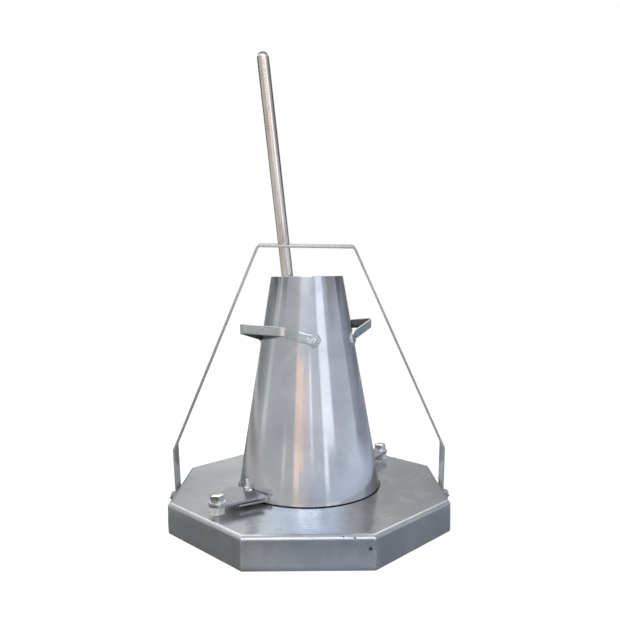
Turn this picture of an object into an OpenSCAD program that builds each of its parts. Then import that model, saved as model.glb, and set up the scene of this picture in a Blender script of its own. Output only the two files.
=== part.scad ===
// Slump cone set: a test cone with two handles and two foot tabs, an octagonal base tray
// with a folding carrying bail and two swivel hold-down clamps, and a tamping rod.
// Millimetres, +Z up, +X to the right, the front faces -Y. The origin is at the middle
// of the tray's lower edge.

/* [Base tray] */
// Width of the octagonal tray across its flats
tray_w = 376; // [366:1:430]
// Height of the tray's folded skirt
tray_h = 41.5; // [36:0.5:60]
// Thickness of the tray's sheet
tray_t = 2; // [1.5:0.5:3]
// Outside radius of the fold round the top edge
fold_r = 5; // [3.5:0.5:8]
// Radius of the dressed weld on each skirt corner
corner_weld_r = 3; // [2.5:0.5:4]

/* [Cone] */
// Inside diameter of the cone at its mouth
mouth_d = 100; // [92:1:110]
// Inside diameter of the cone at its foot
foot_d = 200; // [190:1:206]
// Height of the cone
cone_h = 300; // [280:1:330]
// Level thickness of the cone's wall
cone_t = 1.5; // [1.2:0.1:2.5]
// Diameter of the bead that closes the cone's seam
seam_d = 2.8; // [2.6:0.2:4]

/* [Handles] */
// Height of a handle's strip
handle_w = 12.5; // [10:0.5:16]
// Thickness of a handle's strip
handle_t = 3; // [2:0.5:4]
// Distance from the cone's axis to the tip of a handle
handle_reach = 107; // [96:1:110]
// Height above the cone's foot of the strip's lower edge between its folds
handle_z = 214; // [180:1:230]
// Angle round the cone from a handle's tip to each fold
handle_spread = 29.5; // [24:0.5:34]
// Centreline radius of the bend at a handle's tip
handle_bend_r = 4.5; // [4:0.5:8]
// Slope of a handle's loop, rising away from the cone
handle_rise = 11; // [0:1:15]
// Sideways slope of a handle's loop
handle_cant = 8.5; // [0:0.5:12]
// Length of the flange that a handle's one end lays on the cone
flange_l = 49; // [36:1:52]
// Length of the short flange at a handle's other end
short_flange_l = 22; // [18:1:36]
// Downward slope of the flanges
flange_droop = 15.5; // [0:0.5:18]
// Width of the weld bead round each flange end
flange_weld = 2.2; // [1.5:0.1:3]
// Length of that bead along each edge of a flange, up to the round end
flange_weld_run = 8; // [5:0.5:8]

/* [Foot tabs] */
// Half the width of a foot tab at the cone
tab_root = 23; // [18:1:28]
// Half the width of a foot tab at its outer end
tab_tip = 12.5; // [10:0.5:16]
// Distance that a foot tab stands out from the cone's foot
tab_l = 36.5; // [30:0.5:40]
// Thickness of a foot tab
tab_t = 3; // [2:0.5:4]
// Gap between the base tray and a foot tab
tab_lift = 4; // [3:0.5:6]
// Leg of the fillet weld along a foot tab's root
tab_weld = 2.6; // [2:0.1:3]

/* [Clamps] */
// Distance from a clamp's pivot to its wide end
clamp_reach = 63.5; // [58:0.5:66]
// Half angle between a clamp's wide corners, seen from its pivot
clamp_spread = 31.7; // [20:0.1:36]
// Radius of the clamp's rounded end at the pivot
clamp_eye_r = 11; // [10:0.5:14]
// Thickness of the clamp plate
clamp_t = 3; // [2:0.5:5]
// Turn of each clamp, towards the back, from the line between its pivot and the cone's axis
clamp_turn = 8; // [0:1:10]
// Running gap between a clamp's wide end and the cone
clamp_gap = 0.7; // [0.5:0.1:2]
// Diameter of the pivot bolts
pivot_d = 10; // [8:1:12]
// Width across flats of the pivot bolts' heads
pivot_head_af = 16; // [15:1:19]
// Height of the pivot bolts' heads
pivot_head_h = 6.4; // [5:0.2:8]
// Outside diameter of the flat washers under the pivot bolts' heads
pivot_washer_d = 21.5; // [18:0.5:22]
// Thickness of the flat washers under the pivot bolts' heads
pivot_washer_t = 2; // [1.5:0.1:2.5]
// Outside diameter of the spring washers
spring_washer_d = 17.5; // [16:0.5:19]
// Thickness of the spring washers
spring_washer_t = 2.2; // [1.6:0.2:3]
// Width across flats of the spacer nuts welded to the tray
spacer_af = 18; // [17:1:20]
// Height of the spacer nuts, which carry the clamp plates
spacer_h = 10.4; // [10:0.2:14]
// Diameter of the clamp screws
screw_d = 6; // [5:0.5:6]
// Height of a clamp screw's top above its clamp plate
screw_stand = 16.2; // [12:0.2:24]
// Width across flats of the clamp screws' lock nuts
lock_af = 10; // [9:0.5:11]
// Height of the clamp screws' lock nuts
lock_h = 5.2; // [4:0.1:6]

/* [Bail] */
// Width of the bail's flat bar
bail_w = 25; // [20:1:30]
// Thickness of the bail's flat bar
bail_t = 3; // [2.5:0.5:4]
// Height of the bail's pivots above the tray's lower edge
bail_pivot_z = 22.5; // [20:0.5:24]
// Length of the bail's straight legs above their pivots
bail_leg = 77.5; // [60:0.5:90]
// Length of the bail's grip bar between its bends
bail_grip = 128; // [120:1:150]
// Gap between the cone's mouth and the middle of the grip bar
bail_clear = 42.5; // [38:0.5:60]
// Centreline radius of the bail's bends
bail_bend_r = 5; // [4:0.5:8]
// Diameter of the bail's pivot bolts
bail_bolt_d = 8; // [6:1:10]
// Width across flats of the bail bolts' heads and nuts
bail_af = 13; // [12:1:14]
// Height of the bail bolts' heads
bail_head_h = 5.3; // [4:0.1:6]
// Height of the bail's nuts
bail_nut_h = 6.5; // [5:0.1:8]
// Length of bail bolt that stands out of its nut
bail_bolt_end = 2.5; // [1:0.5:5]
// Outside diameter of the bail's washers
bail_washer_d = 16; // [15:0.5:20]
// Thickness of the bail's washers
bail_washer_t = 1.6; // [1:0.1:2.5]

/* [Tamping rod] */
// Diameter of the rod and of its round ends
rod_d = 16; // [14:0.5:18]
// Length of the rod over its ends
rod_l = 600; // [560:1:620]
// Direction from the cone's axis in which the rod leans on the mouth
rod_az = 230; // [225:0.1:240]
// Place of the rod's lower end to the right of the cone's axis
rod_foot_x = 1; // [-5:0.5:8]
// Gap between the rod and the bail's grip bar, which stands in front of it
rod_bail_gap = 2; // [1:0.5:8]

/* [Fits] */
// Radial clearance of a bolt or screw in the thread that holds it
thread_fit = 0.05; // [0.03:0.01:0.1]
// Radial clearance of a bolt in a plain hole
hole_fit = 0.25; // [0.1:0.05:0.5]
// Gap between flat faces that slide past each other
face_gap = 0.1; // [0.05:0.05:0.2]
// Gap between pieces that only lean or rest on each other
rest_gap = 0.3; // [0.2:0.05:0.4]

/* [Hidden] */
$fn = 96;

// Azimuths seen from above. The right clamp is half a turn on from the left one. The handles
// aren't quite opposite each other, as in the photo.
CLAMP_AZ = 225;
LEFT_HANDLE_AZ = 211;
RIGHT_HANDLE_AZ = 25;
SEAM_AZ = 120;
FLATS = 8;
STEP = 360 / FLATS;
// Sinks a cutter past the face that it cuts
PAST = 1;
// Angle at which a bend's arc meets the flat beside it
MEET = 3;
// How far a dressed corner weld stands proud of the sheet's corner
WELD_PROUD = 0.2;
// Corners of a hexagonal head or nut, and the slope of the chamfer that takes them off
HEX = 6;
CHAMFER = 30;
// Width of the cut through a spring washer
SPRING_CUT = 1.5;

PAINT = "#9ea3a6";
DARK_PAINT = "#85898d";
ZINC = "#c3c6c8";
STEEL = "#b3aaa2";

tray_corner_r = tray_w / 2 / cos(STEP / 2);
cone_top = tray_h + cone_h;
cone_slope = (foot_d - mouth_d) / 2 / cone_h;

// Outside radius of the cone at a height above its foot
function cone_r(z) = foot_d / 2 + cone_t - z * cone_slope;

tab_top = tab_lift + tab_t;
tab_end = cone_r(0) + tab_l;

clamp_z = spacer_h + face_gap;
clamp_top = clamp_z + clamp_t;
pivot_r = cone_r(clamp_z) + clamp_gap + clamp_reach;
lock_corner_r = lock_af / 2 / cos(180 / HEX);
screw_at = clamp_reach - clamp_gap - lock_corner_r;
washer_z = clamp_top + face_gap;
spring_z = washer_z + pivot_washer_t;
head_z = spring_z + spring_washer_t;

bail_hole_r = bail_bolt_d / 2 + hole_fit;
bail_inner_x = tray_w / 2 + bail_washer_t + face_gap;
bail_mid_x = bail_inner_x + bail_t / 2;
bail_outer_x = bail_inner_x + bail_t + face_gap;
bail_nut_x = bail_outer_x + bail_washer_t;
grip_z = cone_top + bail_clear;

// The rod leans on the inside of the mouth, its lower end on the tray
rod_r = rod_d / 2;
rod_foot = [rod_foot_x, 0, tray_h + rest_gap + rod_r];
rod_rest_r = mouth_d / 2 - rod_r - 2 * rest_gap;
rod_rest = [rod_rest_r * cos(rod_az), rod_rest_r * sin(rod_az), cone_top];
rod_run = rod_rest - rod_foot;
rod_tilt = acos(rod_run.z / norm(rod_run));
rod_heading = atan2(rod_run.y, rod_run.x);

// Y of the rod's axis at a height
function rod_y(z) = rod_foot.y + rod_run.y * (z - rod_foot.z) / rod_run.z;

// The bail leans forward until its grip bar clears the front of the rod
grip_y = rod_y(grip_z) - rod_r - bail_w / 2 - rod_bail_gap;
bail_lean = atan2(-grip_y, grip_z - bail_pivot_z);
bail_h = norm([grip_y, grip_z - bail_pivot_z]);

// Rounded corners and bent flat strip

function unit(v) = v / norm(v);
// Half the angle between the two legs at a corner
function half_angle(p, q, s) = acos(unit(p - q) * unit(s - q)) / 2;
// Direction that points to the left of the way from one point to the next
function left_of(p, q) = unit([p.y - q.y, q.x - p.x]);
// A path's corner when both of its legs move left by d
function moved_corner(p, q, s, d) =
    q + d * (left_of(p, q) + left_of(q, s)) / (1 + left_of(p, q) * left_of(q, s));

// What is cut from the corner q, between p and s, to round it. The arc meets each leg at
// the angle MEET, since one that only touches it leaves the solid with a doubtful edge.
module corner_cut(p, q, s, r) {
    half = half_angle(p, q, s);
    centre = q + unit(unit(p - q) + unit(s - q)) * r / sin(half);
    first = q + unit(p - q) * r / tan(half);
    second = q + unit(s - q) * r / tan(half);
    difference() {
        polygon([centre, 2 * first - centre, 2 * q - centre, 2 * second - centre]);
        translate(centre)
            circle(r / cos(MEET));
    }
}

// All that lies to the right of a path moved left by d, its ends drawn out by an amount
module right_side(path, r, d, extra) {
    last = len(path) - 1;
    begin = path[0] + d * left_of(path[0], path[1]) + extra * unit(path[0] - path[1]);
    end = path[last] + d * left_of(path[last - 1], path[last]) + extra * unit(path[last] - path[last - 1]);
    corners = [for (i = [1:last - 1]) moved_corner(path[i - 1], path[i], path[i + 1], d)];
    points = [begin, each corners, end];
    difference() {
        polygon(points);
        for (i = [1:last - 1])
            corner_cut(points[i - 1], points[i], points[i + 1], r + d);
    }
}

// The ends of the path are drawn out by an amount
module bent_strip(path, r, t, extra = 0) {
    difference() {
        right_side(path, r, t / 2, extra);
        right_side(path, r, -t / 2, extra + PAST);
    }
}

// Fasteners

// Hexagonal prism on z = 0, its corners taken off at the top, and at the foot if asked
module hex_prism(af, h, both = false) {
    corner = af / 2 / cos(180 / HEX);
    drop = (corner - af / 2) * tan(CHAMFER);
    foot_drop = both ? drop : 0;
    foot_r = both ? af / 2 : corner;
    intersection() {
        cylinder(h = h, r = corner, $fn = HEX);
        rotate_extrude()
            polygon([[0, 0], [foot_r, 0], [corner, foot_drop], [corner, h - drop], [af / 2, h], [0, h]]);
    }
}

module hex_nut(af, h, bore_r) {
    difference() {
        hex_prism(af, h, true);
        translate([0, 0, -PAST])
            cylinder(h = h + 2 * PAST, r = bore_r);
    }
}

module washer(d, t, bore_r) {
    difference() {
        cylinder(h = t, r = d / 2);
        translate([0, 0, -PAST])
            cylinder(h = t + 2 * PAST, r = bore_r);
    }
}

// Base tray

// Octagonal block whose top edges are rounded, with mitred corners
module octagon_block(w, h, r) {
    difference() {
        rotate([0, 0, STEP / 2])
            cylinder(h = h, r = w / 2 / cos(STEP / 2), $fn = FLATS);
        for (i = [0:FLATS - 1])
            rotate([90, 0, i * STEP])
                linear_extrude(2 * w, center = true)
                    corner_cut([w / 2, 0], [w / 2, h], [-w / 2, h], r);
    }
}

module corner_beads() {
    for (i = [0:FLATS - 1])
        rotate([0, 0, (i + 0.5) * STEP])
            translate([tray_corner_r + WELD_PROUD - corner_weld_r, 0, 0])
                cylinder(h = tray_h - fold_r - 1, r = corner_weld_r);
}

module bail_bores() {
    translate([0, 0, bail_pivot_z])
        rotate([0, 90, 0])
            cylinder(h = tray_w + 2 * PAST, r = bail_hole_r, center = true);
}

module base_tray() {
    color(PAINT)
        difference() {
            octagon_block(tray_w, tray_h, fold_r);
            translate([0, 0, -PAST])
                octagon_block(tray_w - 2 * tray_t, tray_h - tray_t + PAST, fold_r - tray_t);
            corner_beads();
            bail_bores();
        }
}

module corner_welds() {
    color(PAINT)
        corner_beads();
}

module spacer_nuts() {
    color(ZINC)
        for (side = [0, 180])
            rotate([0, 0, CLAMP_AZ + side])
                translate([pivot_r, 0, tray_h])
                    hex_nut(spacer_af, spacer_h, pivot_d / 2 + thread_fit);
}

// Cone

// The cone's outer form, grown level by an amount
module cone_form(grow) {
    translate([0, 0, tray_h])
        cylinder(h = cone_h, r1 = cone_r(0) + grow, r2 = cone_r(cone_h) + grow);
}

// A round bar along the middle of the cone's wall, up its back between the handles
module seam_bar() {
    slant = atan(cone_slope);
    rotate([0, 0, SEAM_AZ])
        translate([cone_r(0) - cone_t / 2, 0, tray_h])
            rotate([0, -slant, 0])
                cylinder(h = 3 * cone_h, r = seam_d / 2, center = true);
}

module cone_shell() {
    color(PAINT)
        difference() {
            cone_form(0);
            translate([0, 0, tray_h - PAST])
                cylinder(h = cone_h + 2 * PAST, r1 = foot_d / 2 + PAST * cone_slope,
                         r2 = mouth_d / 2 - PAST * cone_slope);
            seam_bar();
        }
}

module cone_seam() {
    color(PAINT)
        intersection() {
            seam_bar();
            translate([0, 0, tray_h])
                cylinder(h = cone_h, r = foot_d);
        }
}

// Handles: one strip each, bent into a pointed loop, its two ends laid round the cone

function on_circle(r, angle) = [r * cos(angle), r * sin(angle)];
fold_r_mid = cone_r(handle_z) + handle_t / 2;
loop_mid_x = fold_r_mid * cos(handle_spread);
flange_r = cone_r(handle_z);

// The side is 1 for a handle's long flange, or -1 for its short one
function flange_length(side) = side == 1 ? flange_l : short_flange_l;
// Place of the middle of a flange's round end along the flange
function flange_end(side) = (flange_length(side) - handle_w) / 2;

module handle_loop() {
    path = [on_circle(fold_r_mid, handle_spread), [handle_reach, 0], on_circle(fold_r_mid, -handle_spread)];
    intersection() {
        linear_extrude(2 * cone_top)
            bent_strip(path, handle_bend_r, handle_t, handle_t / 2);
        translate([loop_mid_x, 0, tray_h + handle_z])
            rotate([handle_cant, -handle_rise, 0])
                translate([-handle_reach, -handle_reach, 0])
                    cube([2 * handle_reach, 2 * handle_reach, handle_w]);
    }
}

// Outline of a flange, from its fold at the left to its round end
module flange_outline(side, grow) {
    fold_x = -flange_length(side) / 2;
    translate([fold_x, -handle_w / 2 - grow])
        square([flange_end(side) - fold_x, handle_w + 2 * grow]);
    translate([flange_end(side), 0])
        circle(handle_w / 2 + grow);
}

// Lays a flat outline on the cone, on one side of a handle
module on_flange(side) {
    half = flange_length(side) / 2;
    fold_z = handle_z + side * fold_r_mid * sin(handle_spread) * tan(handle_cant);
    rotate([0, 0, side * (handle_spread + asin(half / flange_r))])
        translate([flange_r / 2, 0, tray_h + fold_z + handle_w / 2 - half * sin(flange_droop)])
            rotate([-side * flange_droop, 0, 0])
                rotate([90, 0, 90])
                    linear_extrude(flange_r)
                        mirror([1 - side, 0])
                            children();
}

module handle() {
    difference() {
        union() {
            handle_loop();
            for (side = [-1, 1])
                intersection() {
                    cone_form(handle_t);
                    on_flange(side)
                        flange_outline(side, 0);
                }
        }
        cone_form(0);
    }
}

module handle_bead(side) {
    intersection() {
        difference() {
            cone_form(flange_weld);
            cone_form(0);
        }
        on_flange(side)
            difference() {
                flange_outline(side, flange_weld);
                flange_outline(side, 0);
                translate([flange_end(side) - flange_weld_run - flange_l, -handle_w])
                    square([flange_l, 2 * handle_w]);
            }
    }
}

module handle_left() {
    color(PAINT)
        rotate([0, 0, LEFT_HANDLE_AZ])
            handle();
}

module handle_right() {
    color(PAINT)
        rotate([0, 0, RIGHT_HANDLE_AZ])
            handle();
}

module handle_welds() {
    color(PAINT)
        for (az = [LEFT_HANDLE_AZ, RIGHT_HANDLE_AZ], side = [-1, 1])
            rotate([0, 0, az])
                handle_bead(side);
}

// Foot tabs

module foot_tab() {
    inner = foot_d / 2 - tab_l;
    difference() {
        translate([0, 0, tray_h + tab_lift])
            linear_extrude(tab_t)
                polygon([[inner, -tab_root], [cone_r(0), -tab_root], [tab_end, -tab_tip],
                         [tab_end, tab_tip], [cone_r(0), tab_root], [inner, tab_root]]);
        cone_form(0);
    }
}

module foot_tab_left() {
    color(PAINT)
        rotate([0, 0, CLAMP_AZ])
            foot_tab();
}

module foot_tab_right() {
    color(PAINT)
        rotate([0, 0, CLAMP_AZ + 180])
            foot_tab();
}

module foot_tab_welds() {
    half = asin((tab_root - tab_weld) / cone_r(0));
    color(PAINT)
        for (turn = [0, 180])
            rotate([0, 0, CLAMP_AZ + turn - half])
                rotate_extrude(angle = 2 * half)
                    polygon([[cone_r(tab_top), tray_h + tab_top],
                             [cone_r(tab_top) + tab_weld, tray_h + tab_top],
                             [cone_r(tab_top + tab_weld), tray_h + tab_top + tab_weld]]);
}

// Clamps, drawn with the pivot on Z and the wide end towards +X

// Puts a clamp's piece at its pivot. The side is 0 for the left and 180 for the right.
module at_pivot(side, z) {
    turn = side == 0 ? clamp_turn : -clamp_turn;
    rotate([0, 0, CLAMP_AZ + side])
        translate([pivot_r, 0, tray_h + z])
            rotate([0, 0, 180 + turn])
                children();
}

module clamp_outline() {
    corner = on_circle(clamp_reach, clamp_spread);
    touch = on_circle(clamp_eye_r, clamp_spread + acos(clamp_eye_r / clamp_reach));
    circle(clamp_eye_r);
    intersection() {
        circle(clamp_reach);
        polygon([touch, corner, [2 * clamp_reach, corner.y], [2 * clamp_reach, -corner.y],
                 [corner.x, -corner.y], [touch.x, -touch.y]]);
    }
}

module clamp_plate(side) {
    color(DARK_PAINT)
        at_pivot(side, clamp_z)
            difference() {
                linear_extrude(clamp_t)
                    clamp_outline();
                translate([0, 0, -PAST])
                    cylinder(h = clamp_t + 2 * PAST, r = pivot_d / 2 + hole_fit);
                translate([screw_at, 0, -PAST])
                    cylinder(h = clamp_t + 2 * PAST, r = screw_d / 2 + thread_fit);
            }
}

module pivot_bolt(side) {
    color(ZINC)
        at_pivot(side, 0) {
            translate([0, 0, rest_gap])
                cylinder(h = head_z - rest_gap, r = pivot_d / 2);
            translate([0, 0, head_z])
                hex_prism(pivot_head_af, pivot_head_h);
        }
}

module flat_washer(side) {
    color(ZINC)
        at_pivot(side, washer_z)
            washer(pivot_washer_d, pivot_washer_t, pivot_d / 2 + hole_fit);
}

module spring_washer(side) {
    color(ZINC)
        at_pivot(side, spring_z)
            difference() {
                washer(spring_washer_d, spring_washer_t, pivot_d / 2 + hole_fit);
                translate([0, -SPRING_CUT / 2, -PAST])
                    cube([spring_washer_d, SPRING_CUT, spring_washer_t + 2 * PAST]);
            }
}

// The screw's foot presses on the foot tab
module clamp_screw(side) {
    foot = tab_top + face_gap;
    color(ZINC)
        at_pivot(side, foot)
            translate([screw_at, 0, 0])
                cylinder(h = clamp_top + screw_stand - foot, r = screw_d / 2);
}

module lock_nut(side) {
    color(ZINC)
        at_pivot(side, clamp_top + face_gap)
            translate([screw_at, 0, 0])
                hex_nut(lock_af, lock_h, screw_d / 2 + thread_fit);
}

// Bail, drawn upright with its pivots on X and then leaned forward

module bail_strap() {
    path = [[-bail_mid_x, -bail_w / 2], [-bail_mid_x, bail_leg], [-bail_grip / 2, bail_h],
            [bail_grip / 2, bail_h], [bail_mid_x, bail_leg], [bail_mid_x, -bail_w / 2]];
    color(PAINT)
        translate([0, 0, bail_pivot_z])
            rotate([bail_lean, 0, 0])
                difference() {
                    rotate([90, 0, 0])
                        linear_extrude(bail_w, center = true)
                            bent_strip(path, bail_bend_r, bail_t);
                    rotate([0, 90, 0]) {
                        cylinder(h = 3 * bail_mid_x, r = bail_hole_r, center = true);
                        // Rounds the lower ends of the legs about the pivots
                        linear_extrude(3 * bail_mid_x, center = true)
                            difference() {
                                translate([0, -bail_w])
                                    square([2 * bail_w, 2 * bail_w]);
                                circle(bail_w / 2);
                            }
                    }
                }
}

// Puts a piece on each bail pivot, its own +Z pointing outwards, from a distance out
module at_bail_pivots(x) {
    for (turn = [0, 180])
        rotate([0, 0, turn])
            translate([x, 0, bail_pivot_z])
                rotate([0, 90, 0])
                    children();
}

module bail_bolts() {
    inside = tray_w / 2 - tray_t;
    color(ZINC)
        at_bail_pivots(inside) {
            cylinder(h = bail_nut_x + bail_nut_h + bail_bolt_end - inside, r = bail_bolt_d / 2);
            mirror([0, 0, 1])
                hex_prism(bail_af, bail_head_h);
        }
}

module bail_inner_washers() {
    color(ZINC)
        at_bail_pivots(tray_w / 2)
            washer(bail_washer_d, bail_washer_t, bail_hole_r);
}

module bail_outer_washers() {
    color(ZINC)
        at_bail_pivots(bail_outer_x)
            washer(bail_washer_d, bail_washer_t, bail_hole_r);
}

module bail_nuts() {
    color(ZINC)
        at_bail_pivots(bail_nut_x)
            hex_nut(bail_af, bail_nut_h, bail_bolt_d / 2 + thread_fit);
}

// Tamping rod

module tamping_rod() {
    straight = rod_l - rod_d;
    color(STEEL)
        translate(rod_foot)
            rotate([0, rod_tilt, rod_heading]) {
                sphere(rod_r);
                cylinder(h = straight, r = rod_r);
                translate([0, 0, straight])
                    sphere(rod_r);
            }
}

base_tray();
corner_welds();
spacer_nuts();
cone_shell();
cone_seam();
handle_left();
handle_right();
handle_welds();
foot_tab_left();
foot_tab_right();
foot_tab_welds();
clamp_plate(0);  // clamp_plate_left
pivot_bolt(0);  // pivot_bolt_left
flat_washer(0);  // flat_washer_left
spring_washer(0);  // spring_washer_left
clamp_screw(0);  // clamp_screw_left
lock_nut(0);  // lock_nut_left
clamp_plate(180);  // clamp_plate_right
pivot_bolt(180);  // pivot_bolt_right
flat_washer(180);  // flat_washer_right
spring_washer(180);  // spring_washer_right
clamp_screw(180);  // clamp_screw_right
lock_nut(180);  // lock_nut_right
bail_strap();
bail_bolts();
bail_inner_washers();
bail_outer_washers();
bail_nuts();
tamping_rod();
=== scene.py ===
"""Looks of the slump cone set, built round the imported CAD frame.

Sizes in the shape functions are millimetres in the CAD frame: z = 0 is the tray's lower edge, +X is to the
right and -Y is towards the viewer. Every mesh is made in metres.
"""

import math

import bmesh
import bpy
import numpy as np
from mathutils import Matrix, Vector


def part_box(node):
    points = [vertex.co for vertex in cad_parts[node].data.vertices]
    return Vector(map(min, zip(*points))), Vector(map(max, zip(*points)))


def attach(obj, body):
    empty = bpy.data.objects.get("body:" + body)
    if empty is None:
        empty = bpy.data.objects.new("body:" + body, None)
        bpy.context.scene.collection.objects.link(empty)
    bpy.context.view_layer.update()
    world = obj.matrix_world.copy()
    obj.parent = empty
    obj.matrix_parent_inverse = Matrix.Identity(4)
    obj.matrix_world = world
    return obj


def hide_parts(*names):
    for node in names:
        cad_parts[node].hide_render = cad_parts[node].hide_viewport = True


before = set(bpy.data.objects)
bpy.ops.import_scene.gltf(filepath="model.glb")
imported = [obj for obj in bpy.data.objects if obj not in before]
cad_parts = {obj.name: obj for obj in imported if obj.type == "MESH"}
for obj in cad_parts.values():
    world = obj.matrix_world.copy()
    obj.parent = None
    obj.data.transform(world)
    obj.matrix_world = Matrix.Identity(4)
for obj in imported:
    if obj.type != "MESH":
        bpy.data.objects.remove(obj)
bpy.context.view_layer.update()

MM = 0.001
TURN = 2 * math.pi


# Sizes of the real set, those of the solids as in part.scad. Azimuths are in degrees

TRAY_W, TRAY_H, TRAY_T, FOLD_R, CORNER_R = 376.0, 41.5, 2.0, 5.0, 3.0
MOUTH_R, FOOT_R, CONE_H, CONE_T = 50.0, 100.0, 300.0, 1.5
SLOPE = (FOOT_R - MOUTH_R) / CONE_H
SEAM_AZ = 120
HANDLE_AZ = {"left": 211, "right": 25}
HANDLE_W, HANDLE_T, HANDLE_REACH, HANDLE_Z, HANDLE_BEND_R = 12.5, 3.0, 107.0, 214.0, 4.5
HANDLE_SPREAD, HANDLE_RISE, HANDLE_CANT, FLANGE_DROOP = np.radians([29.5, 11.0, 8.5, 15.5])
LONG_FLANGE_L, SHORT_FLANGE_L = 49.0, 22.0
CLAMP_AZ, TAB_TOP, TAB_ROOT = 225, 7.0, 23.0
SCREW_D, SCREW_PITCH = 6.0, 1.0
BAIL_W, BAIL_T, BAIL_PIVOT_Z, BAIL_LEG, BAIL_GRIP, BAIL_BEND_R = 25.0, 3.0, 22.5, 77.5, 128.0, 5.0
BAIL_MID_X = 191.2
BAIL_BOLT_D, BAIL_BOLT_PITCH, BAIL_AF, BAIL_HEAD_H, BAIL_BOLT_TIP = 8.0, 1.25, 13.0, 5.3, 203.4
ROD_D = 16.0
# Drop of the left and the right end of the grip bar, a bend of the real bail that part.scad leaves out
BAIL_LOW = (0.5, 4.0)


def node_box_mm(name):
    """Lowest and highest corner of a CAD node, in millimetres."""
    return [np.array(corner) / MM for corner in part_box(name)]


# Camera, as fitted to the photograph

PHOTO_PX, SENSOR_MM = 620, 36


def camera_axes(pitch, yaw, roll):
    """Rows: the camera's right, forward and up directions, from its pitch down, yaw and roll in degrees."""
    a, b, c = np.radians([pitch, yaw, roll])
    about_x = np.array([[1, 0, 0], [0, np.cos(a), -np.sin(a)], [0, np.sin(a), np.cos(a)]])
    about_z = np.array([[np.cos(b), -np.sin(b), 0], [np.sin(b), np.cos(b), 0], [0, 0, 1]])
    about_y = np.array([[np.cos(c), 0, np.sin(c)], [0, 1, 0], [-np.sin(c), 0, np.cos(c)]])
    return about_y @ about_x @ about_z


def make_camera(place_mm, pitch, yaw, roll, focal_px):
    """A pinhole camera whose focal length is given in pixels of the photograph."""
    data = bpy.data.cameras.new("camera")
    data.sensor_width = SENSOR_MM
    data.lens = focal_px / PHOTO_PX * SENSOR_MM
    data.clip_start, data.clip_end = 0.05, 50
    camera = bpy.data.objects.new("camera", data)
    bpy.context.scene.collection.objects.link(camera)
    right, forward, up = camera_axes(pitch, yaw, roll)
    matrix = np.eye(4)
    matrix[:3, :3] = np.stack([right, up, -forward], axis=1)
    matrix[:3, 3] = np.array(place_mm) * MM
    camera.matrix_world = Matrix(matrix.tolist())
    bpy.context.scene.camera = camera


make_camera(place_mm=(9.6, -877.4, 335.8), pitch=2.789, yaw=-0.375, roll=-0.636, focal_px=610.6)


# Surfaces on grids


def quads(rows, columns, close_rows):
    """Faces of a grid of points numbered row by row. The columns go all round, and the rows may too."""
    count = rows if close_rows else rows - 1
    row, column = np.meshgrid(np.arange(count), np.arange(columns), indexing="ij")
    row_on, column_on = (row + 1) % rows, (column + 1) % columns
    corners = [row * columns + column, row * columns + column_on,
               row_on * columns + column_on, row_on * columns + column]
    return np.stack(corners, axis=-1).reshape(-1, 4).tolist()


def closed_grid(points, close_rows=False):
    """A grid of rings, (rows, columns, 3), as points and faces. Open ends get a fan round their middle."""
    rows, columns = points.shape[:2]
    faces = quads(rows, columns, close_rows)
    points = points.reshape(-1, 3)
    if not close_rows:
        ends = [points[:columns].mean(axis=0), points[-columns:].mean(axis=0)]
        around = np.arange(columns)
        for k, first in enumerate((0, (rows - 1) * columns)):
            middle = np.full(columns, rows * columns + k)
            faces += np.stack([first + around, first + (around + 1) % columns, middle], axis=1).tolist()
        points = np.vstack([points, ends])
    return points, faces


def polar(radius, angle, z):
    """Points from their distance to the Z axis, their angle round it and their height."""
    return np.stack(np.broadcast_arrays(radius * np.cos(angle), radius * np.sin(angle), z), axis=-1)


def rotated(points, degrees, axis="z"):
    """Points turned about the origin."""
    return np.asarray(points) @ np.array(Matrix.Rotation(math.radians(degrees), 3, axis.upper())).T


def revolved(profile, segments, closed=True):
    """A profile of (radius, height) carried round the Z axis."""
    profile = np.asarray(profile, float)
    angle = np.linspace(0, TURN, segments, endpoint=False)
    return closed_grid(polar(profile[:, :1], angle, profile[:, 1:]), closed)


def bar_section(width, thickness, edge, arc=4):
    """Rectangle with rounded edges, as a loop of (across, through) points, with a point beside each arc."""
    turn = np.linspace(0, math.pi / 2, arc + 1)
    corner = np.stack([np.cos(turn), np.sin(turn)], axis=1) * edge
    corner = np.vstack([[edge, -edge * 0.5], corner, [-edge * 0.5, edge]])
    loop = []
    for k, (side_x, side_y) in enumerate(((1, 1), (-1, 1), (-1, -1), (1, -1))):
        c, s = math.cos(k * math.pi / 2), math.sin(k * math.pi / 2)
        middle = [side_x * (width / 2 - edge), side_y * (thickness / 2 - edge)]
        loop.append(corner @ np.array([[c, s], [-s, c]]) + middle)
    return np.vstack(loop)


def swept(path, across, through, section, width_scale):
    """A section carried along a path. Each row has its own across and through directions and width."""
    points = (path[:, None] + section[None, :, :1] * width_scale[:, None, None] * across[:, None]
              + section[None, :, 1:] * through[:, None])
    return closed_grid(points)


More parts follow.
